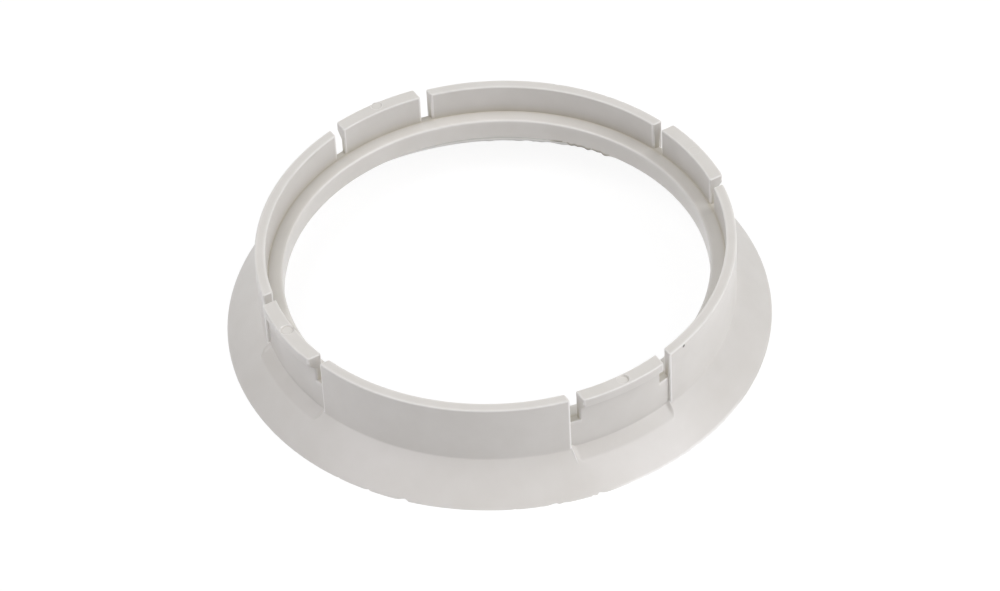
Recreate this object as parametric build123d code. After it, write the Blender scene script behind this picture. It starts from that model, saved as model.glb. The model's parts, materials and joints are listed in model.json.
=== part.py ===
"""Hub centric ring: one plastic moulding that centres a wheel's bore on a smaller hub.

The ring stands on its flared skirt. Its axis is Z, the base plane is Z = 0, and the
collar with the spring clips points up.
"""
import os
from math import radians, sin, tan

from build123d import *

# Driving dimensions, in millimetres and degrees
collar_diameter = 73.1
hub_bore_diameter = 65.1
skirt_diameter = 83.8
ring_height = 15.4
skirt_angle = 45.0
skirt_wall = 1.7
collar_wall = 1.65

# Spring clips, and the slots on both sides of each one
clip_count = 4
clip_width = 13.9
slot_width = 1.65
slot_depth = 5.05
lip_overhang = 0.65
lip_face_height = 1.5
lip_angle = 45.0

# Recess that a sliding mould core leaves in the wall and the skirt below each clip
recess_depth = 0.5
recess_reach = 1.55
recess_angle = 36.0

# Ejector pin mark on top of each clip
pin_mark_diameter = 1.8
pin_mark_depth = 0.15

# Rounded and broken edges
corner_radius = 0.3
top_edge_radius = 0.2
bore_chamfer = 0.3

# Sizes that follow from the ones above
collar_radius = collar_diameter / 2
bore_radius = hub_bore_diameter / 2
skirt_radius = skirt_diameter / 2
inner_radius = collar_radius - collar_wall
stem_radius = collar_radius - recess_depth
lip_radius = collar_radius + lip_overhang
recess_radius = collar_radius + recess_reach
skirt_slope = tan(radians(skirt_angle))
skirt_top = (skirt_radius - collar_radius) * skirt_slope
skirt_foot_radius = skirt_radius - skirt_wall / sin(radians(skirt_angle))
bore_bottom = (skirt_foot_radius - bore_radius) * skirt_slope
slot_floor = ring_height - slot_depth
lip_bottom = ring_height - lip_face_height
lip_root = lip_bottom - (lip_radius - stem_radius) * tan(radians(lip_angle))
recess_edge = (skirt_radius - recess_radius) * skirt_slope
recess_foot = recess_edge + (recess_radius - stem_radius) * tan(radians(recess_angle))
bay_width = clip_width + 2 * slot_width
clear_height = ring_height + slot_depth


def turned(*outline):
    """Revolve a closed outline of (radius, height) points about the ring's axis."""
    return revolve(Plane.XZ * make_face(Polyline(*outline, close=True)), Axis.Z)


def band(width):
    """Upright block of the given width, from the axis along +X to past the skirt."""
    return extrude(Rectangle(skirt_diameter, width, align=(Align.MIN, Align.CENTER)), clear_height)


def at_each_clip(shape):
    """Copies of a shape turned to every clip."""
    return [Rot(0, 0, turn * 360 / clip_count) * shape for turn in range(clip_count)]


def blank():
    """Flared skirt, collar, inner ledge and hub bore, before the bays are cut."""
    return turned(
        (skirt_foot_radius, 0),
        (skirt_radius, 0),
        (collar_radius, skirt_top),
        (collar_radius, ring_height),
        (inner_radius, ring_height),
        (inner_radius, slot_floor),
        (bore_radius + bore_chamfer, slot_floor),
        (bore_radius, slot_floor - bore_chamfer),
        (bore_radius, bore_bottom),
    )


def bay():
    """Space round one clip: the gap in the collar, and the recess that runs out on the skirt."""
    gap = turned(
        (inner_radius, slot_floor),
        (recess_radius, slot_floor),
        (recess_radius, clear_height),
        (inner_radius, clear_height),
    )
    recess = turned(
        (stem_radius, recess_foot),
        (recess_radius, recess_edge),
        (recess_radius, clear_height),
        (stem_radius, clear_height),
    )
    return (gap + recess) & band(bay_width)


def clip():
    """Spring clip with a barbed outward lip, standing on the slot floor."""
    blade = turned(
        (inner_radius, slot_floor),
        (stem_radius, slot_floor),
        (stem_radius, lip_root),
        (lip_radius, lip_bottom),
        (lip_radius, ring_height),
        (inner_radius, ring_height),
    )
    return blade & band(clip_width)


def pin_mark():
    """Shallow round pocket that an ejector pin leaves in the middle of a clip's top."""
    centre = Pos((inner_radius + lip_radius) / 2, 0, ring_height)
    return centre * Cylinder(pin_mark_diameter / 2, 2 * pin_mark_depth)


def stands_above_slots(edge):
    """True for an upright edge of a collar segment or a clip."""
    return edge.bounding_box().max.Z > slot_floor + corner_radius


def moulding():
    """The whole ring as one solid, with its free edges rounded."""
    ring = blank() - at_each_clip(bay()) + at_each_clip(clip())
    upright_edges = ring.edges().filter_by(Axis.Z).filter_by(stands_above_slots)
    ring = fillet(upright_edges, corner_radius)
    top_edges = ring.edges().group_by(Axis.Z)[-1]
    ring = fillet(top_edges, top_edge_radius)
    return ring - at_each_clip(pin_mark())


os.makedirs("parts", exist_ok=True)
hub_ring = moulding()
hub_ring.label = "hub_ring"
export_step(hub_ring, "parts/hub_ring.step")
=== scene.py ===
"""Looks of the hub centric ring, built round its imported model.

One quarter of the ring, centred on a spring clip, is lofted from cross-sections. A node tree
turns it into the whole ring, which then gets its own marks from the mould and from wear.
"""
import json
import math

import bmesh
import bpy
import numpy as np
from mathutils import Matrix, Vector


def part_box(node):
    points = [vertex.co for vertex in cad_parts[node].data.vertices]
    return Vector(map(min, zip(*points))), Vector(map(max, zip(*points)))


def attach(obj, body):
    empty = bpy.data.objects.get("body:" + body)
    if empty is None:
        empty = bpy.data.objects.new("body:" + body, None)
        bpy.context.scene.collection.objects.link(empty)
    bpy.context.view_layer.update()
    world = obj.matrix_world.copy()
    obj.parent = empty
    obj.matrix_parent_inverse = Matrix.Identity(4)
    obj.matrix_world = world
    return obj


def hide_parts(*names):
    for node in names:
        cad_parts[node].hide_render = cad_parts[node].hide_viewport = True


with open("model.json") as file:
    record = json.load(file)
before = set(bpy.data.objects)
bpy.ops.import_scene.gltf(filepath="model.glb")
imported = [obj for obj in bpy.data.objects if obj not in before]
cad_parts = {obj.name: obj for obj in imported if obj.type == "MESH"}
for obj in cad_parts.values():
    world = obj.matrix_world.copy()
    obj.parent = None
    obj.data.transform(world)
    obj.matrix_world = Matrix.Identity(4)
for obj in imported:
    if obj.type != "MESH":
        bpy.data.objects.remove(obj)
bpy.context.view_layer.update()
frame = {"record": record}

MM = 0.001

# Sizes in millimetres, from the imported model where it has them
mounts = {mount["name"]: mount for mount in frame["record"]["mounts"]}
low_corner, high_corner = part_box("hub_ring")
skirt_radius = (high_corner.x - low_corner.x) / 2 / MM
ring_height = (high_corner.z - low_corner.z) / MM
bore_radius = mounts["hub_bore"]["dims"]["r_mm"]
collar_radius = mounts["wheel_collar"]["dims"]["r_mm"]
collar_wall = 1.65
skirt_wall = 1.7
clip_count = 4
clip_half = 6.95
slot_width = 1.65
slot_depth = 5.05
lip_overhang = 0.65
lip_face_height = 1.5
recess_depth = 0.5
recess_reach = 1.55
recess_angle = 36.0
recess_corner = 1.0
recess_side_run = 0.75
recess_side_step = 0.12
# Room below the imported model's top for the raised lines round the pin marks
flash_room = 0.03

# Radii of the rounded edges
upright_round = 0.3
top_round = 0.2
lip_round = 0.1
slot_round = 0.25
root_round = 0.4
recess_root_round = 0.2
bore_round = 0.3
bore_foot_round = 0.2
rim_round = 0.015

# Points on the rounds and along the straight stretches of a section
brow_arc = 7
edge_arc = 6
root_arc = 5
small_arc = 4
points_along = {
    "base": 3,
    "cone": 14,
    "recess floor": 6,
    "recess wall": 9,
    "stem": 6,
    "lip slope": 5,
    "lip face": 5,
    "clip top": 16,
    "clip inside": 9,
    "skirt head": 5,
    "collar wall": 9,
    "collar top": 4,
    "collar inside": 6,
    "ledge": 6,
    "bore": 5,
    "underside": 5,
}
# Longest stretch between points on the slot floor
floor_step = 0.2
# Distance from a round at which a point or a section keeps the face beside it flat
edge_support = 0.1
bore_support = 0.3

# Half width of a clip's middle, where its sections lie closest
close_half = 1.8
# Sections across a clip, a slot's corner, an upright round and half a collar segment
close_sections = 19
wide_sections = 10
corner_sections = 9
round_sections = 7
collar_sections = 70
# Place of the section that keeps the collar flat beside its round, as a share of the half segment
collar_first_share = 0.005

# Limits for welding, cleaning and shading the mesh
tolerance = 1e-6
weld_distance = 0.002
shortest_edge = 0.0005
crisp_angle = 32.0

# Radii, heights and angles that follow
top_height = ring_height - flash_room
inner_radius = collar_radius - collar_wall
stem_radius = collar_radius - recess_depth
lip_radius = collar_radius + lip_overhang
recess_radius = collar_radius + recess_reach
bay_half = clip_half + slot_width
slot_floor = ring_height - slot_depth
lip_bottom = ring_height - lip_face_height
lip_root = lip_bottom - (lip_radius - stem_radius)
foot_radius = skirt_radius - skirt_wall * math.sqrt(2)
bore_bottom = foot_radius - bore_radius
recess_slope = math.tan(math.radians(recess_angle))
quarter = 360 / clip_count

# Marks from the mould and from wear, in millimetres and in degrees about the axis
# A reach of two values says where a mark is nil and where it is full, from the edge in its name
# A reach of one value is the distance over which a mark fades
# Pin marks: angle, radius of the middle, radius of the mark, depth, share of the depth lost to a lean
pin_marks = (
    (0.2, 36.0, 0.85, 0.02, 0.0),
    (89.6, 36.5, 0.85, 0.10, 0.0),
    (179.5, 35.95, 0.95, 0.20, 0.0),
    (270.3, 35.95, 0.9, 0.30, 1.0),
)
pin_top_reach = (-0.3, -0.15)
pin_wall_reach = (0.07, -0.07)
# Raised line round a pin mark: distance from its edge, half width, height, depth of mark for all of it
pin_line = (0.09, 0.08, 0.9 * flash_room, 0.1)

# Bump on one lip: angle, half width, height
lip_bump = (89.5, 0.45, 0.30)
bump_top_reach = (-1.0, -0.3)
bump_lip_reach = (-0.45, -0.1)
# Mould line on one lip: angle, width, step outwards past it
lip_step = (177.3, 0.15, 0.09)
step_lip_reach = (-0.5, -0.2)
# Nicks in the top outer edge: angle, half width, depth
top_nicks = ((43.4, 0.25, 0.10), (30.0, 0.25, 0.08))
nick_reach = 0.4
nick_drop = 0.35

# Chips in the rim: angle of the sharp end, length over which the chip fades out, depth
# A chip with a length below zero fades towards smaller angles
rim_chips = (
    (204.6, -0.9, 0.11),
    (211.7, -1.1, 0.17),
    (220.0, -2.1, 0.31),
    (241.5, 1.0, 0.08),
    (246.7, 0.9, 0.06),
    (250.9, -2.0, 0.17),
    (252.7, -1.0, 0.13),
    (257.9, 0.8, 0.12),
    (259.2, 1.5, 0.23),
)
chip_edge = 0.3
rim_reach = 0.75
# Rough stretches of the rim: first and last angle, depth
rough_rims = ((168.0, 216.0, 0.02), (262.0, 303.0, 0.06))
rough_fade = 6.0
# Waves that make the rim rough: number round the whole ring, shift in degrees
rim_waves = ((97, 10.0), (151, 70.0), (233, 200.0))
# Stretch of worn rim with a painted highlight along its edge: first and last angle
pale_rim = (260.0, 303.0)
pale_fade = 8.0
pale_width = 0.2

# Flash on the lower edge of the bore, and on the inner edge of the base: first and last angle, depth
bore_flash = (24.0, 46.0, 0.40)
base_flash = (36.0, 64.0, 0.24)
flash_fade = 4.0
flash_seed = 11
bore_flash_reach = 0.25
bore_flash_lean = 0.3
# Flash on the outer edge of the recesses: angle, half length, height
recess_flash = (
    (183.0, 0.7, 0.06),
    (192.0, 0.5, 0.07),
    (262.0, 0.5, 0.06),
    (268.0, 0.5, 0.05),
    (276.0, 1.2, 0.06),
)
# Burr down the skirt beside the recess of one clip, a small gap away from the recess's edge
burr_clip = 270.0
burr_height = 0.10
burr_offset = 0.05
burr_width = 0.09
burr_collar_reach = (-0.2, 0.1)
burr_recess_reach = (0.1, -0.4)
burr_gap = 1e-4
# Dark speck on the outside of the collar
speck_angle = 288.5
speck_height = 14.92
speck_size = 0.24
speck_softness = 0.3

# How close a point lies to an edge or a face to count as on it
touch = 0.02
near = 0.05
stem_zone = 0.06
slot_zone = 0.1
burr_zone = 0.2
lip_zone = 0.3
underside_zone = 0.3
pin_zone = 0.4
flash_zone = 0.5
# Where the underside starts outside the bore, and the stem's outer half outside the inner wall
heel_edge = 0.03
stem_middle = 0.6
# A face with more corners than this is a flat slot wall
most_corners = 8

# Painted highlights as pale lines on the rounded edges: bend per millimetre at which they are nil and full,
# and strengths
soft_bend = (0.5, 4.0)
upright_bend = (0.3, 2.5)
soft_shine = 0.42
lip_shine_share = 0.5
skirt_shine_share = 0.3
recess_side_shine = 0.8
burr_shine = 1.5
# Rise of an edge that still counts as level, and of the normal on a face that counts as upright
level_slope = 0.2
upright_tilt = 0.4

# Painted shade in the corners: strength, and the length over which it fades where it does
wall_tone = (0.5, 1.2)
ledge_tone = (0.35, 0.5)
slot_ledge_tone = (0.55, 0.5)
slot_wall_tone = (0.5, 1.7)
slot_wall_least = 0.06
slot_floor_tone = 0.34
stem_tone = (0.2, 0.7)
lip_tone = 0.2
recess_root_tone = (0.2, 0.35)
recess_floor_tone = 0.17
flash_bore_reach = (0.35, 0.05)
# Painted shade on the hollow underside: least tone, what is added to it, and the heights at which none and
# all of that is added
underside_least = 0.1
underside_more = 0.8
underside_heights = (2.5, 5.5)
# Painted shade just inside the pin mark edges: strength, half width, depth of the mark for all of it
pin_tone = (0.35, 0.1, 0.2)

# Studio light: name, turn about the axis and height in degrees, watts and tint of each soft box
box_distance = 0.7
box_size = 0.45
room_light = 0.1
soft_boxes = (
    ("key_box", -59.0, 24.0, 1.37, (0.93, 0.93, 1.0)),
    ("right_front_box", -59.0, 45.0, 0.68, (1.0, 0.97, 0.97)),
    ("right_box", -29.0, 45.0, 1.30, (0.99, 0.99, 1.0)),
    ("left_box", 151.0, 45.0, 0.40, (0.80, 0.80, 1.0)),
    ("left_front_box", 181.0, 45.0, 0.83, (0.93, 0.90, 1.0)),
    ("high_left_box", 151.0, 68.0, 1.62, (1.0, 1.0, 0.95)),
    ("back_box", 61.0, 24.0, 0.30, (0.98, 1.0, 0.98)),
)

# Floor: half its width in metres, and its drop below the base in millimetres
floor_half = 2.0
floor_drop = 0.02

# Camera: sensor and lens in millimetres, turn, height and roll in degrees, distance and aim in metres
camera_sensor = 36.0
camera_lens = 159.34
camera_turn = -28.93
camera_lift = 43.915
camera_roll = -3.163
camera_distance = 0.68106
camera_aim = (0.00012, 0.00253)


def cone_height(radius):
    """Height of the skirt's outer cone at a radius."""
    return skirt_radius - radius


def recess_height(radius, side):
    """Height of the recess floor at a radius, rising softly to the skirt at the recess's sides."""
    floor = cone_height(recess_radius) + (recess_radius - radius) * recess_slope
    near_side = np.clip((abs(side) - bay_half) / recess_side_run + 1, 0, 1)
    rise = (1 - recess_side_step) * near_side ** 2 * (3 - 2 * near_side)
    return floor + (cone_height(radius) - floor) * rise


def recess_end(side):
    """Radius at which the recess runs out, with its rounded outer corners."""
    past = np.maximum(np.abs(side) - (bay_half - recess_corner), 0)
    return recess_radius - recess_corner + np.sqrt(np.maximum(recess_corner ** 2 - past ** 2, 0))


def straight(start, end, count):
    """Points from start towards end, without the end."""
    share = np.linspace(0, 1, count, endpoint=False)[:, None]
    return np.array(start) + share * (np.array(end) - np.array(start))


def rounded(before, corner, after, radius, count):
    """Points on the arc that rounds a corner between two straight runs, both ends kept."""
    corner = np.array(corner, float)
    back = np.array(before) - corner
    on = np.array(after) - corner
    back /= np.linalg.norm(back)
    on /= np.linalg.norm(on)
    half = math.acos(np.clip(back @ on, -1, 1)) / 2
    run = radius / math.tan(half)
    middle = back + on
    centre = corner + middle / np.linalg.norm(middle) * radius / math.sin(half)
    first = corner + back * run - centre
    last = corner + on * run - centre
    start = math.atan2(first[1], first[0])
    turn = math.atan2(last[1], last[0]) - start
    turn = (turn + math.pi) % (2 * math.pi) - math.pi
    angles = start + turn * np.linspace(0, 1, count)
    return centre + radius * np.column_stack([np.cos(angles), np.sin(angles)])


def divided(points, step):
    """The outline with points added so that no stretch is longer than step."""
    out = []
    for start, end in zip(points[:-1], points[1:]):
        count = max(1, math.ceil(np.linalg.norm(end - start) / step - tolerance))
        out.append(straight(start, end, count))
    return np.vstack(out + [points[-1:]])


def lower_outside(end):
    """Base, rim and cone up to the radius end."""
    foot = (foot_radius, 0)
    rim = rounded(foot, (skirt_radius, 0), (end, cone_height(end)), rim_round, root_arc)
    base = straight(foot, rim[0], points_along["base"])
    cone = straight(rim[-1], (end, cone_height(end)), points_along["cone"])
    return np.vstack([base, rim[:-1], cone, [(end, cone_height(end))]])


def lower_inside():
    """Ledge, bore and underside, from the collar's inner wall round to the foot."""
    ledge = (inner_radius, slot_floor)
    brow = rounded(ledge, (bore_radius, slot_floor), (bore_radius, bore_bottom), bore_round, brow_arc)
    foot = (foot_radius, 0)
    heel = rounded(brow[-1], (bore_radius, bore_bottom), foot, bore_foot_round, small_arc)
    above_heel = heel[0] + np.array((0, bore_support))
    past_heel = heel[-1] + np.array((edge_support, -edge_support))
    return np.vstack([
        straight(ledge, brow[0], points_along["ledge"]),
        brow[:-1],
        straight(brow[-1], above_heel, points_along["bore"]),
        [above_heel],
        heel,
        straight(past_heel, foot, points_along["underside"]),
    ])


def recess_face(side, edge):
    """Recess floor and recessed wall, up over the rounded edge of the slot floor."""
    end = recess_end(side)
    step_foot = (end, recess_height(end, side))
    corner = (stem_radius, recess_height(stem_radius, side))
    top = (stem_radius, slot_floor)
    root = rounded(step_foot, corner, top, recess_root_round, root_arc)
    brow = rounded(corner, top, (inner_radius, slot_floor), edge, root_arc)
    return np.vstack([
        straight(step_foot, root[0], points_along["recess floor"]),
        root[:-1],
        straight(root[-1], brow[0], points_along["recess wall"]),
        brow,
    ])


def clip_outline(inset, drop):
    """Clip above the slot floor: stem, barbed lip, top and inner wall."""
    stem = stem_radius - inset
    lip = lip_radius - inset
    inner = inner_radius + inset
    top = top_height - drop
    edge = top_round - drop / 2
    below = np.array((0, edge_support))
    barb = rounded((stem, lip_root), (lip, lip_bottom), (lip, top), lip_round, small_arc)
    outer = rounded((lip, lip_bottom), (lip, top), (inner, top), edge, edge_arc)
    inside = rounded((lip, top), (inner, top), (inner, slot_floor), edge, edge_arc)
    return np.vstack([
        straight((stem, slot_floor), (stem, lip_root), points_along["stem"]),
        straight((stem, lip_root), barb[0], points_along["lip slope"]),
        barb[:-1],
        straight(barb[-1], outer[0], points_along["lip face"]),
        outer[:-1],
        straight(outer[-1], inside[0], points_along["clip top"]),
        inside,
        straight(inside[-1] - below, (inner, slot_floor), points_along["clip inside"]),
        [(inner, slot_floor)],
    ])


def collar_outline(inset, drop):
    """Long collar segment above the skirt: outer wall, top and inner wall."""
    outer_wall = collar_radius - inset
    inner = inner_radius + inset
    top = top_height - drop
    edge = top_round - drop / 2
    below = np.array((0, edge_support))
    start = recess_end(bay_half)
    corner = (outer_wall, cone_height(outer_wall))
    root = rounded((start, cone_height(start)), corner, (outer_wall, top), root_round, root_arc)
    outer = rounded(corner, (outer_wall, top), (inner, top), edge, edge_arc)
    inside = rounded((outer_wall, top), (inner, top), (inner, slot_floor), edge, edge_arc)
    return np.vstack([
        straight((start, cone_height(start)), root[0], points_along["skirt head"])[1:],
        root[:-1],
        straight(root[-1], outer[0] - below, points_along["collar wall"]),
        [outer[0] - below],
        outer[:-1],
        straight(outer[-1], inside[0], points_along["collar top"]),
        inside,
        straight(inside[-1] - below, (inner, slot_floor), points_along["collar inside"]),
        [(inner, slot_floor)],
    ])


def floor_outline():
    """Slot floor between the places where the rounded uprights stand."""
    return divided(np.array([
        (stem_radius - slot_round, slot_floor),
        (stem_radius - upright_round, slot_floor),
        (inner_radius + upright_round, slot_floor),
    ]), floor_step)


def clip_section(side, inset, drop):
    """Whole section through a clip."""
    return np.vstack([lower_outside(recess_end(side)), recess_face(side, min(slot_round, inset)),
                      clip_outline(inset, drop), lower_inside()])


def slot_section(side):
    """Whole section through a slot."""
    return np.vstack([lower_outside(recess_end(side)), recess_face(side, slot_round)[:-1],
                      floor_outline(), lower_inside()])


def collar_section(inset, drop):
    """Whole section through a long collar segment."""
    return np.vstack([lower_outside(recess_end(bay_half)), collar_outline(inset, drop),
                      lower_inside()])


def edge_rounding(depth):
    """Inset and drop of a section that lies depth inside the round of an upright edge."""
    inset = upright_round - math.sqrt(max(upright_round ** 2 - depth ** 2, 0.0))
    past = max(depth - (upright_round - top_round), 0.0)
    drop = top_round - math.sqrt(max(top_round ** 2 - past ** 2, 0.0))
    return inset, drop


def in_plane(section, side):
    """Section laid in the upright plane at a distance to the side of the clip's middle."""
    radius, height = section[:, 0], section[:, 1]
    return np.column_stack([np.sqrt(radius ** 2 - side ** 2), np.full(len(radius), side), height])


def fanned(section, side, share):
    """Section between the plane at side, at share 0, and the quarter's end, at share 1."""
    radius, height = section[:, 0], section[:, 1]
    turn = (1 - share) * np.arcsin(side / radius) + share * math.radians(quarter / 2)
    return np.column_stack([radius * np.cos(turn), radius * np.sin(turn), height])


def round_depths():
    """Depths inside the round of an upright edge at which sections lie, from its start to its end."""
    return upright_round * np.sin(np.radians(np.linspace(0, 90, round_sections)))


def clip_loops():
    """Sections across one clip, closest together where its top carries marks."""
    round_start = clip_half - upright_round
    close = np.linspace(0, close_half, close_sections)
    wide = np.linspace(close_half, round_start - edge_support, wide_sections)[1:]
    half = [(side, 0.0) for side in (*close, *wide, round_start)]
    half += [(round_start + depth, depth) for depth in round_depths()[1:]]
    both = [(-side, depth) for side, depth in half[:0:-1]] + half
    return [in_plane(clip_section(side, *edge_rounding(depth)), side) for side, depth in both]


def slot_loops(sign):
    """Sections across the slot on one side of the clip."""
    turns = np.radians(np.linspace(0, 90, corner_sections))
    corner = bay_half - recess_corner + recess_corner * np.sin(turns)
    sides = [clip_half, (clip_half + corner[0]) / 2, *corner]
    return [in_plane(slot_section(side), sign * side) for side in sides]


def collar_loops(sign):
    """Sections from the slot's far wall to the end of the quarter."""
    loops = []
    for depth in round_depths()[::-1]:
        side = bay_half + upright_round - depth
        loops.append(in_plane(collar_section(*edge_rounding(depth)), side))
    middle = collar_section(0.0, 0.0)
    for share in (collar_first_share, *np.linspace(0, 1, collar_sections)[1:]):
        loops.append(fanned(middle, bay_half + upright_round, share))
    return [loop * (1, sign, 1) for loop in loops]


def add_strip(mesh, loops):
    """Loft closed sections into a strip of four-sided faces."""
    rows = [[mesh.verts.new(point) for point in loop] for loop in loops]
    for one, two in zip(rows[:-1], rows[1:]):
        for here, there in zip(range(len(one)), [*range(1, len(one)), 0]):
            mesh.faces.new((one[here], two[here], two[there], one[there]))


def add_wall(mesh, outline):
    """Flat upright wall inside a closed outline."""
    mesh.faces.new([mesh.verts.new(point) for point in outline])


def quarter_ring():
    """One clip, its two slots and half a collar segment on each side, as a mesh in metres."""
    mesh = bmesh.new()
    add_strip(mesh, clip_loops())
    for sign in (-1, 1):
        add_strip(mesh, slot_loops(sign))
        add_strip(mesh, collar_loops(sign))
        inset, drop = edge_rounding(upright_round)
        clip_end = clip_outline(inset, drop)
        floor = floor_outline()[::-1]
        past_inner = floor[:, 0] > clip_end[-1, 0] + tolerance
        short_of_stem = floor[:, 0] < clip_end[0, 0] - tolerance
        between = floor[past_inner & short_of_stem]
        add_wall(mesh, in_plane(np.vstack([clip_end, between]), sign * clip_half))
        start = (recess_end(bay_half), cone_height(recess_end(bay_half)))
        far_end = np.vstack([[start], collar_outline(inset, drop)])
        back = floor[floor[:, 0] > far_end[-1, 0] + tolerance]
        recess = recess_face(bay_half, slot_round)[::-1][1:]
        add_wall(mesh, in_plane(np.vstack([far_end, back, recess]), sign * bay_half))
    bmesh.ops.scale(mesh, vec=(MM, MM, MM), verts=mesh.verts)
    data = bpy.data.meshes.new("quarter_ring")
    mesh.to_mesh(data)
    mesh.free()
    return data


def quarter_turns_tree():
    """Node tree that turns the quarter into the whole ring and welds the seams."""
    tree = bpy.data.node_groups.new("ring_from_quarters", "GeometryNodeTree")
    sockets = tree.interface
    sockets.new_socket("Geometry", in_out="INPUT", socket_type="NodeSocketGeometry")
    sockets.new_socket("Clips", in_out="INPUT", socket_type="NodeSocketInt")
    sockets.new_socket("Weld Distance", in_out="INPUT", socket_type="NodeSocketFloat")
    sockets.new_socket("Plastic", in_out="INPUT", socket_type="NodeSocketMaterial")
    sockets.new_socket("Geometry", in_out="OUTPUT", socket_type="NodeSocketGeometry")
    node, link = tree.nodes.new, tree.links.new
    given = node("NodeGroupInput")
    made = node("NodeGroupOutput")
    points = node("GeometryNodePoints")
    index = node("GeometryNodeInputIndex")
    step = node("ShaderNodeMath")
    step.operation = "DIVIDE"
    step.inputs[0].default_value = 2 * math.pi
    turn = node("ShaderNodeMath")
    turn.operation = "MULTIPLY"
    about = node("ShaderNodeCombineXYZ")
    copies = node("GeometryNodeInstanceOnPoints")
    real = node("GeometryNodeRealizeInstances")
    weld = node("GeometryNodeMergeByDistance")
    finish = node("GeometryNodeSetMaterial")
    link(given.outputs["Clips"], points.inputs["Count"])
    link(given.outputs["Clips"], step.inputs[1])
    link(step.outputs[0], turn.inputs[0])
    link(index.outputs[0], turn.inputs[1])
    link(turn.outputs[0], about.inputs["Z"])
    link(points.outputs[0], copies.inputs["Points"])
    link(given.outputs["Geometry"], copies.inputs["Instance"])
    link(about.outputs[0], copies.inputs["Rotation"])
    link(copies.outputs[0], real.inputs[0])
    link(real.outputs[0], weld.inputs["Geometry"])
    link(given.outputs["Weld Distance"], weld.inputs["Distance"])
    link(weld.outputs[0], finish.inputs["Geometry"])
    link(given.outputs["Plastic"], finish.inputs["Material"])
    link(finish.outputs[0], made.inputs[0])
    return tree


def socket_of(tree, name):
    """Identifier of a tree's named input."""
    return next(item.identifier for item in tree.interface.items_tree
                if item.name == name and item.in_out == "INPUT")


def whole_ring(plastic):
    """The whole ring as one plain mesh object."""
    seed = bpy.data.objects.new("quarter", quarter_ring())
    bpy.context.scene.collection.objects.link(seed)
    tree = quarter_turns_tree()
    maker = seed.modifiers.new("ring_from_quarters", "NODES")
    maker.node_group = tree
    maker[socket_of(tree, "Clips")] = clip_count
    maker[socket_of(tree, "Weld Distance")] = weld_distance * MM
    maker[socket_of(tree, "Plastic")] = plastic
    ready = seed.evaluated_get(bpy.context.evaluated_depsgraph_get())
    data = bpy.data.meshes.new_from_object(ready)
    seed.modifiers.remove(maker)
    bpy.data.objects.remove(seed)
    data.name = "moulded_ring"
    ring = bpy.data.objects.new("moulded_ring", data)
    bpy.context.scene.collection.objects.link(ring)
    return ring


def clean_faces(data):
    """Drop what the weld left without area, and point every face outwards."""
    mesh = bmesh.new()
    mesh.from_mesh(data)
    bmesh.ops.dissolve_degenerate(mesh, dist=shortest_edge * MM, edges=mesh.edges)
    bmesh.ops.recalc_face_normals(mesh, faces=mesh.faces)
    mesh.to_mesh(data)
    mesh.free()


def bell(distance, width):
    """1 in the middle, falling to 0 over about twice the width."""
    return np.exp(-(distance / width) ** 2)


def ramp(value):
    """Smooth step from 0 to 1."""
    value = np.clip(value, 0, 1)
    return value * value * (3 - 2 * value)


def share_of(value, reach):
    """0 up to the first value of the reach, growing evenly to 1 at the second."""
    none, full = reach
    return np.clip((value - none) / (full - none), 0, 1)


def rising(value, reach):
    """Smooth step from 0 at the first value of the reach to 1 at the second."""
    return ramp(share_of(value, reach))


def within(angles, first, last, fade):
    """1 between two angles, falling to 0 over the fade inside each of them."""
    return ramp((angles - first) / fade) * ramp((last - angles) / fade)


def arc_from(angle, angles, radius):
    """Distance along the ring from an angle."""
    return np.radians((angles - angle + 180) % 360 - 180) * radius


def mesh_points(data):
    """Points in millimetres and their normals."""
    points = np.empty(len(data.vertices) * 3)
    normals = np.empty(len(data.vertices) * 3)
    data.vertices.foreach_get("co", points)
    data.vertices.foreach_get("normal", normals)
    return points.reshape(-1, 3) / MM, normals.reshape(-1, 3)


def polar(points):
    """Radius, angle in degrees and height of points, and their distance beside the nearest clip's middle."""
    x, y, height = points.T
    radius = np.hypot(x, y)
    angles = np.degrees(np.arctan2(y, x)) % 360
    from_clip = (angles + quarter / 2) % quarter - quarter / 2
    return radius, angles, height, np.abs(radius * np.sin(np.radians(from_clip)))


def from_pin(x, y, pin_mark):
    """Distance of points from the edge of a pin mark, and the depth of the mark there."""
    angle, middle, size, depth, lean = pin_mark
    turn = math.radians(angle)
    from_x = x - middle * math.cos(turn)
    from_y = y - middle * math.sin(turn)
    along = (from_y * math.cos(turn) - from_x * math.sin(turn)) / size
    sunk = depth * (1 - lean * np.clip(0.5 - along / 2, 0, 1))
    return np.hypot(from_x, from_y) - size, sunk


def pinned_height(x, y, z):
    """Height of points with the pin marks sunk into the clip tops, and a fine raised line round each."""
    offset, width, line_height, full_depth = pin_line
    for pin_mark in pin_marks:
        past, sunk = from_pin(x, y, pin_mark)
        line = line_height * np.minimum(sunk / full_depth, 1) * bell(past - offset, width)
        on_top = rising(z - top_height, pin_top_reach)
        z = z + on_top * (line - sunk * rising(past, pin_wall_reach))
    return z


def lip_marks(radius, angles, z):
    """How far points stand out for the bump on one lip and the mould line on another."""
    angle, width, height = lip_bump
    upper = rising(z - top_height, bump_top_reach) * rising(radius - lip_radius, bump_lip_reach)
    out = height * upper * bell(arc_from(angle, angles, radius), width)
    angle, width, step = lip_step
    past = arc_from(angle, angles, radius)
    on_lip = (past < clip_half) & (z > lip_bottom - lip_round)
    return out + step * on_lip * ramp(past / width) * rising(radius - lip_radius, step_lip_reach)


def nick_depth(radius, angles, z):
    """How far the nicks dent the top outer edge."""
    near_top = np.clip(1 - (collar_radius - radius) / nick_reach, 0, 1) * (z > top_height - nick_drop)
    dents = [depth * bell(arc_from(angle, angles, radius), width) for angle, width, depth in top_nicks]
    return near_top * sum(dents)


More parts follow.
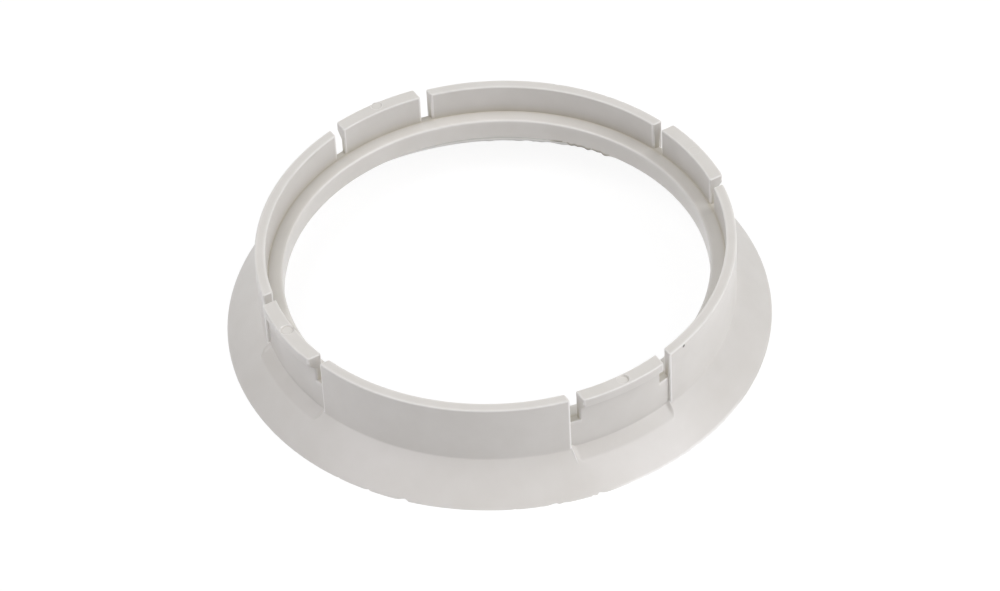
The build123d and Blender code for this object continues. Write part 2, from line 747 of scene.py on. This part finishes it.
def rim_wear(radius, angles, z):
    """How far the rim is worn back along the skirt, in chips and in rough stretches."""
    near_rim = np.clip(1 - (skirt_radius - radius) / rim_reach, 0, 1) * (z < rim_reach)
    worn = np.zeros(len(radius))
    for angle, length, depth in rim_chips:
        past = arc_from(angle, angles, radius) * np.sign(length)
        worn += depth * ramp(past / chip_edge) * ramp(1 - past / abs(length))
    waves = sum(np.sin(np.radians(angles * count + shift)) for count, shift in rim_waves)
    for first, last, depth in rough_rims:
        worn += depth * within(angles, first, last, rough_fade) * (waves / len(rim_waves) + 1) / 2
    return near_rim * worn


def flash_shift(radius, angles, z):
    """How far inwards and down the ragged flash on the bore's lower edge and on the base reaches."""
    degrees = np.arange(361)
    ragged = np.interp(angles, degrees, np.random.default_rng(flash_seed).random(len(degrees)))
    first, last, depth = bore_flash
    near_edge = np.clip(2 - np.hypot(radius - bore_radius, z - bore_bottom) / bore_flash_reach, 0, 1)
    down = depth * near_edge * within(angles, first, last, flash_fade) * ragged
    first, last, depth = base_flash
    on_foot = (z < touch) & (np.abs(radius - foot_radius) < near)
    inwards = depth * on_foot * within(angles, first, last, flash_fade) * ragged
    return inwards + bore_flash_lean * down, down


def burr_share(x, y):
    """Strength of the burr that runs down the skirt beside one recess."""
    turn = math.radians(burr_clip)
    side = y * math.cos(turn) - x * math.sin(turn)
    radius = np.hypot(x, y)
    reach = rising(radius - collar_radius, burr_collar_reach)
    reach *= rising(radius - recess_radius, burr_recess_reach)
    return np.where(side < -bay_half - burr_gap, reach * bell(side + bay_half + burr_offset, burr_width), 0)


def skirt_rise(points):
    """How far the burr and the flash of the recesses stand up from the skirt."""
    radius, angles, z, side = polar(points)
    on_cone = np.abs(z - cone_height(radius)) < near
    rise = burr_height * on_cone * burr_share(*points[:, :2].T)
    on_edge = on_cone & (np.abs(radius - recess_end(side)) < touch) & (side < bay_half)
    for angle, length, height in recess_flash:
        rise += height * on_edge * bell(arc_from(angle, angles, radius), length)
    return rise


def ring_marks(data):
    """Move the ring's points for the marks from the mould and from wear."""
    points, _ = mesh_points(data)
    x, y, z = points.T
    radius, angles, _, _ = polar(points)
    worn = rim_wear(radius, angles, z)
    inwards, down = flash_shift(radius, angles, z)
    rise = skirt_rise(points) * math.sqrt(0.5)
    new_radius = radius + lip_marks(radius, angles, z) - nick_depth(radius, angles, z)
    new_radius += rise - worn - inwards
    new_z = pinned_height(x, y, z) + rise + worn - down
    moved = np.column_stack([x * new_radius / radius, y * new_radius / radius, new_z]) * MM
    data.vertices.foreach_set("co", moved.ravel())
    data.update()


def smooth_faces(ring):
    """Shade the rounds smooth, keep the moulded edges crisp and the flat walls flat."""
    ring.data.shade_smooth()
    ring.data.set_sharp_from_angle(angle=math.radians(crisp_angle))
    weighting = ring.modifiers.new("flat_walls", "WEIGHTED_NORMAL")
    weighting.keep_sharp = True
    ready = ring.evaluated_get(bpy.context.evaluated_depsgraph_get())
    data = bpy.data.meshes.new_from_object(ready)
    ring.modifiers.remove(weighting)
    ring.data = data


def store_tone(data, name, on_faces, on_ends):
    """Store a value at the corners of every face, with values of their own for the flat slot walls."""
    corners = np.empty(len(data.loops), int)
    sizes = np.empty(len(data.polygons), int)
    data.loops.foreach_get("vertex_index", corners)
    data.polygons.foreach_get("loop_total", sizes)
    on_wall = np.repeat(sizes > most_corners, sizes)
    values = np.where(on_wall, on_ends[corners], on_faces[corners])
    store = data.attributes.new(name, "FLOAT", "CORNER")
    store.data.foreach_set("value", values.astype(np.float32))


def edge_bends(data, points, normals):
    """Sharpest outward bend per millimetre at each point, along any edge and along level edges."""
    ends = np.empty(len(data.edges) * 2, int)
    data.edges.foreach_get("vertices", ends)
    first, last = ends.reshape(-1, 2).T
    along = points[last] - points[first]
    square = np.maximum((along ** 2).sum(1), tolerance)
    level = along[:, 2] ** 2 < level_slope ** 2 * square
    bend = np.zeros(len(points))
    level_bend = np.zeros(len(points))
    for tips, sign in ((first, -2), (last, 2)):
        amount = sign * (normals[tips] * along).sum(1) / square
        np.maximum.at(bend, tips, amount)
        np.maximum.at(level_bend, tips, np.where(level, amount, 0))
    return bend, level_bend


def edge_shine(data):
    """Store how strongly each point lies on a rounded outer edge as a painted highlight, also on the worn
    stretch of rim, the recess sides and the burr.
    """
    points, normals = mesh_points(data)
    radius, angles, height, side = polar(points)
    bend, level_bend = edge_bends(data, points, normals)
    in_bay = side < bay_half - near
    outside = radius > collar_radius
    skirt_head = cone_height(collar_radius)

    shine = soft_shine * share_of(bend, soft_bend)
    on_upright = (np.abs(normals[:, 2]) < upright_tilt) & (height > skirt_head)
    on_upright &= radius > inner_radius - slot_zone
    shine = np.where(on_upright, np.maximum(shine, share_of(level_bend, upright_bend)), shine)

    on_stem = in_bay & (radius > inner_radius + stem_middle)
    on_stem &= (height > slot_floor) & (height < lip_bottom - lip_round)
    on_heel = (height < bore_bottom + bore_foot_round / 2) & (radius < bore_radius + bore_foot_round)
    shine[on_stem] = 0
    shine[outside & (np.abs(height - lip_bottom) < lip_zone)] = 0
    shine[outside & on_upright & in_bay] *= lip_shine_share
    shine[outside & (height < skirt_head)] *= skirt_shine_share
    shine[on_heel] = 0

    # Painted highlight along the edge of the worn stretch of rim
    on_rim = (height < pale_width) & (radius > skirt_radius - pale_width)
    shine = np.maximum(shine, on_rim * within(angles, *pale_rim, pale_fade))
    # Painted highlight on the recess sides below the slot floor, lightening their shade
    beside_recess = np.abs(side - bay_half - upright_round / 2) < upright_round / 2 + touch
    beside_recess &= (radius > stem_radius - touch) & (radius < collar_radius + touch)
    beside_recess &= height < slot_floor
    shine[beside_recess] = np.maximum(shine[beside_recess], recess_side_shine)
    # Painted highlight along the burr down the skirt
    on_skirt = np.abs(height - cone_height(radius)) < burr_zone
    shine = np.maximum(shine, on_skirt * np.minimum(burr_shine * burr_share(*points[:, :2].T), 1))
    store_tone(data, "edge_shine", shine, np.where(height < slot_floor - touch, shine, 0))


def fading(tone, distance):
    """Strength of a tone at a distance from its corner."""
    strength, length = tone
    return strength * np.exp(-distance / length)


def collar_tones(radius, height, side):
    """Places and strengths of painted shade on the inside of the collar and on the floor of the slots."""
    above = height - slot_floor
    from_wall = inner_radius - radius
    level = np.abs(above) < touch
    on_wall = (np.abs(from_wall) < near) & (above > -touch)
    on_slot_floor = level & (from_wall < -touch / 2) & (radius < stem_radius - near)
    beside_slot = (side > clip_half - slot_zone) & (side < bay_half + slot_zone)
    ledge = np.where(beside_slot, fading(slot_ledge_tone, from_wall), fading(ledge_tone, from_wall))
    return [
        (on_wall, fading(wall_tone, above)),
        (level & (radius <= inner_radius), ledge),
        (on_slot_floor, slot_floor_tone),
    ]


def bay_tones(radius, height, side):
    """Places and strengths of painted shade below the lips and in the recesses."""
    in_bay = side < bay_half - near
    on_stem = in_bay & (np.abs(radius - stem_radius) < stem_zone) & (height <= lip_root + touch)
    under_lip = in_bay & (radius > stem_radius + stem_zone)
    under_lip &= (height > lip_root) & (height < lip_bottom - near)
    from_root = np.hypot(radius - stem_radius, height - recess_height(stem_radius, side))
    on_floor = in_bay & (radius > stem_radius + recess_root_round) & (radius < recess_end(side) - touch)
    on_floor &= np.abs(height - recess_height(radius, side)) < near
    return [
        (on_stem, fading(stem_tone, lip_root - height)),
        (under_lip, lip_tone),
        (in_bay, fading(recess_root_tone, from_root)),
        (on_floor, recess_floor_tone),
    ]


def lower_tones(radius, angles, height):
    """Places and strengths of painted shade on the hollow underside and on the flash of the bore."""
    on_underside = np.abs(height + radius - foot_radius) < underside_zone
    on_underside &= radius > bore_radius + heel_edge
    on_flash = (height < bore_bottom + touch) & (radius < bore_radius + flash_zone)
    first, last, _ = bore_flash
    flash = rising(radius - bore_radius, flash_bore_reach) * within(angles, first, last, flash_fade)
    return [
        (on_underside, underside_least + underside_more * rising(height, underside_heights)),
        (on_flash, flash),
    ]


def pin_tones(points):
    """Places and strengths of painted shade just inside the edges of the pin marks."""
    strength, width, full_depth = pin_tone
    on_top = points[:, 2] > top_height - pin_zone
    for pin_mark in pin_marks:
        past, sunk = from_pin(*points[:, :2].T, pin_mark)
        yield on_top, strength * bell(past + width, width) * np.minimum(sunk / full_depth, 1)


def paint_shade(data):
    """Store painted shade that darkens and warms the plastic: how deep each point lies in a corner, and the
    shade on the underside, the bore's flash and the pin mark edges.
    """
    points, _ = mesh_points(data)
    radius, angles, height, side = polar(points)
    depth = np.zeros(len(points))
    for here, tone in (*collar_tones(radius, height, side), *bay_tones(radius, height, side),
                       *lower_tones(radius, angles, height), *pin_tones(points)):
        depth = np.maximum(depth, np.where(here, tone, 0))
    above = height - slot_floor
    in_slot = np.where(above > -touch, slot_wall_least + fading(slot_wall_tone, above), 0)
    store_tone(data, "crevice", depth, in_slot)


def ring_plastic():
    """Satin off-white moulded plastic with faint mottling, a fine grain and one dark speck, with painted
    highlights on its edges and painted shade in its corners.
    """
    plastic = bpy.data.materials.new("ring_plastic")
    plastic.use_nodes = True
    tree = plastic.node_tree
    node, link = tree.nodes.new, tree.links.new
    shader = tree.nodes["Principled BSDF"]
    place = node("ShaderNodeTexCoord")

    mottling = node("ShaderNodeTexNoise")
    mottling.inputs["Scale"].default_value = 220.0
    mottling.inputs["Detail"].default_value = 3.0
    tones = node("ShaderNodeValToRGB")
    tones.color_ramp.elements[0].position = 0.3
    tones.color_ramp.elements[0].color = (0.695, 0.672, 0.628, 1)
    tones.color_ramp.elements[1].position = 0.7
    tones.color_ramp.elements[1].color = (0.725, 0.703, 0.662, 1)
    link(place.outputs["Object"], mottling.inputs["Vector"])
    link(mottling.outputs["Fac"], tones.inputs["Fac"])

    turn = math.radians(speck_angle)
    away = node("ShaderNodeVectorMath")
    away.operation = "DISTANCE"
    away.inputs[1].default_value = (collar_radius * MM * math.cos(turn),
                                    collar_radius * MM * math.sin(turn), speck_height * MM)
    speck = node("ShaderNodeMapRange")
    speck.inputs["From Min"].default_value = speck_size * (1 - speck_softness) * MM
    speck.inputs["From Max"].default_value = speck_size * (1 + speck_softness) * MM
    tint = node("ShaderNodeMix")
    tint.data_type = "RGBA"
    tint.inputs["A"].default_value = (0.10, 0.085, 0.075, 1)
    link(place.outputs["Object"], away.inputs[0])
    link(away.outputs["Value"], speck.inputs["Value"])
    link(speck.outputs["Result"], tint.inputs["Factor"])
    link(tones.outputs["Color"], tint.inputs["B"])

    # Painted highlight: the rounded edges, the worn rim, the recess sides and the burr are mixed towards
    # near white
    on_edge = node("ShaderNodeAttribute")
    on_edge.attribute_name = "edge_shine"
    lit_edge = node("ShaderNodeMix")
    lit_edge.data_type = "RGBA"
    lit_edge.inputs["B"].default_value = (0.96, 0.945, 0.915, 1)
    link(on_edge.outputs["Fac"], lit_edge.inputs["Factor"])
    link(tint.outputs["Result"], lit_edge.inputs["A"])

    # Painted shade: corners, slots, recesses, the hollow underside, the bore's flash and the pin mark edges
    # darken and warm the colour
    in_corner = node("ShaderNodeAttribute")
    in_corner.attribute_name = "crevice"
    dimming = node("ShaderNodeValToRGB")
    dimming.color_ramp.elements[0].color = (1, 1, 1, 1)
    dimming.color_ramp.elements[1].color = (0.36, 0.34, 0.31, 1)
    recess_tone = dimming.color_ramp.elements.new(0.15)
    recess_tone.color = (0.925, 0.922, 0.92, 1)
    corner_tone = dimming.color_ramp.elements.new(0.5)
    corner_tone.color = (0.80, 0.775, 0.71, 1)
    shaded = node("ShaderNodeMix")
    shaded.data_type = "RGBA"
    shaded.blend_type = "MULTIPLY"
    shaded.inputs["Factor"].default_value = 1.0
    link(in_corner.outputs["Fac"], dimming.inputs["Fac"])
    link(lit_edge.outputs["Result"], shaded.inputs["A"])
    link(dimming.outputs["Color"], shaded.inputs["B"])
    link(shaded.outputs["Result"], shader.inputs["Base Color"])

    sheen_noise = node("ShaderNodeTexNoise")
    sheen_noise.inputs["Scale"].default_value = 600.0
    satin = node("ShaderNodeMapRange")
    satin.inputs["To Min"].default_value = 0.27
    satin.inputs["To Max"].default_value = 0.35
    link(place.outputs["Object"], sheen_noise.inputs["Vector"])
    link(sheen_noise.outputs["Fac"], satin.inputs["Value"])
    link(satin.outputs["Result"], shader.inputs["Roughness"])

    grain = node("ShaderNodeTexNoise")
    grain.inputs["Scale"].default_value = 3500.0
    grain.inputs["Detail"].default_value = 3.0
    relief = node("ShaderNodeBump")
    relief.inputs["Strength"].default_value = 0.10
    relief.inputs["Distance"].default_value = 0.02 * MM
    link(place.outputs["Object"], grain.inputs["Vector"])
    link(grain.outputs["Fac"], relief.inputs["Height"])
    link(relief.outputs["Normal"], shader.inputs["Normal"])
    return plastic


def seen_directly(tree):
    """Value that is 1 for camera, glossy and transmitted rays, so that they see the backdrop white."""
    path = tree.nodes.new("ShaderNodeLightPath")
    either = tree.nodes.new("ShaderNodeMath")
    either.operation = "MAXIMUM"
    any_of = tree.nodes.new("ShaderNodeMath")
    any_of.operation = "MAXIMUM"
    tree.links.new(path.outputs["Is Camera Ray"], either.inputs[0])
    tree.links.new(path.outputs["Is Glossy Ray"], either.inputs[1])
    tree.links.new(either.outputs[0], any_of.inputs[0])
    tree.links.new(path.outputs["Is Transmission Ray"], any_of.inputs[1])
    return any_of.outputs[0]


def stage_floor():
    """Pale floor, white where the light reaches it and a little darker in the ring's shadow."""
    data = bpy.data.meshes.new("floor")
    half = floor_half
    level = -floor_drop * MM
    corners = [(-half, -half, level), (half, -half, level), (half, half, level), (-half, half, level)]
    data.from_pydata(corners, [], [(0, 1, 2, 3)])
    floor = bpy.data.objects.new("floor", data)
    bpy.context.scene.collection.objects.link(floor)
    paint = bpy.data.materials.new("floor_paint")
    paint.use_nodes = True
    tree = paint.node_tree
    tree.nodes.clear()
    bounce = tree.nodes.new("ShaderNodeBsdfDiffuse")
    bounce.inputs["Color"].default_value = (0.95, 0.95, 0.95, 1)
    shadow_catch = tree.nodes.new("ShaderNodeBsdfDiffuse")
    shadow_catch.inputs["Color"].default_value = (0.16, 0.16, 0.16, 1)
    glow = tree.nodes.new("ShaderNodeEmission")
    glow.inputs["Strength"].default_value = 0.9
    white = tree.nodes.new("ShaderNodeAddShader")
    choose = tree.nodes.new("ShaderNodeMixShader")
    out = tree.nodes.new("ShaderNodeOutputMaterial")
    tree.links.new(shadow_catch.outputs[0], white.inputs[0])
    tree.links.new(glow.outputs[0], white.inputs[1])
    tree.links.new(seen_directly(tree), choose.inputs[0])
    tree.links.new(bounce.outputs[0], choose.inputs[1])
    tree.links.new(white.outputs[0], choose.inputs[2])
    tree.links.new(choose.outputs[0], out.inputs["Surface"])
    data.materials.append(paint)


def studio_world():
    """Even light from all round, white where it is seen directly."""
    world = bpy.data.worlds.new("studio")
    bpy.context.scene.world = world
    world.use_nodes = True
    tree = world.node_tree
    ambient = tree.nodes["Background"]
    ambient.inputs["Strength"].default_value = room_light
    backdrop = tree.nodes.new("ShaderNodeBackground")
    ambient.inputs["Color"].default_value = (1, 1, 1, 1)
    backdrop.inputs["Color"].default_value = (1, 1, 1, 1)
    choose = tree.nodes.new("ShaderNodeMixShader")
    tree.links.new(seen_directly(tree), choose.inputs[0])
    tree.links.new(ambient.outputs[0], choose.inputs[1])
    tree.links.new(backdrop.outputs[0], choose.inputs[2])
    tree.links.new(choose.outputs[0], tree.nodes["World Output"].inputs["Surface"])


def studio_lamps():
    """Soft boxes round the ring, each aimed at its middle."""
    aim = Vector((0, 0, ring_height / 2 * MM))
    for name, turn, lift, watts, tint in soft_boxes:
        lamp = bpy.data.lights.new(name, "AREA")
        lamp.shape = "DISK"
        lamp.size = box_size
        lamp.energy = watts
        lamp.color = tint
        holder = bpy.data.objects.new(name, lamp)
        bpy.context.scene.collection.objects.link(holder)
        around = math.radians(turn)
        above = math.radians(lift)
        way = Vector((math.cos(around) * math.cos(above), math.sin(around) * math.cos(above),
                      math.sin(above)))
        holder.location = aim + way * box_distance
        holder.rotation_euler = way.to_track_quat("Z", "Y").to_euler()
        holder.visible_camera = False


def studio_camera():
    """Camera at the photograph's place, set from given values that were solved from the ring's own ellipses.
    """
    data = bpy.data.cameras.new("camera")
    data.sensor_width = camera_sensor
    data.lens = camera_lens
    camera = bpy.data.objects.new("camera", data)
    bpy.context.scene.collection.objects.link(camera)
    swung = Matrix.Rotation(math.radians(camera_turn), 4, "Z")
    raised = Matrix.Rotation(math.radians(90 - camera_lift), 4, "X")
    rolled = Matrix.Rotation(math.radians(camera_roll), 4, "Z")
    away = Matrix.Translation((camera_aim[0], camera_aim[1], camera_distance))
    camera.matrix_world = swung @ raised @ rolled @ away
    bpy.context.scene.camera = camera


plastic = ring_plastic()
ring = whole_ring(plastic)
clean_faces(ring.data)
ring_marks(ring.data)
edge_shine(ring.data)
paint_shade(ring.data)
smooth_faces(ring)
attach(ring, "root")
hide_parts("hub_ring")

bpy.context.scene.view_settings.view_transform = "Standard"
stage_floor()
studio_world()
studio_lamps()
studio_camera()

bpy.context.view_layer.update()
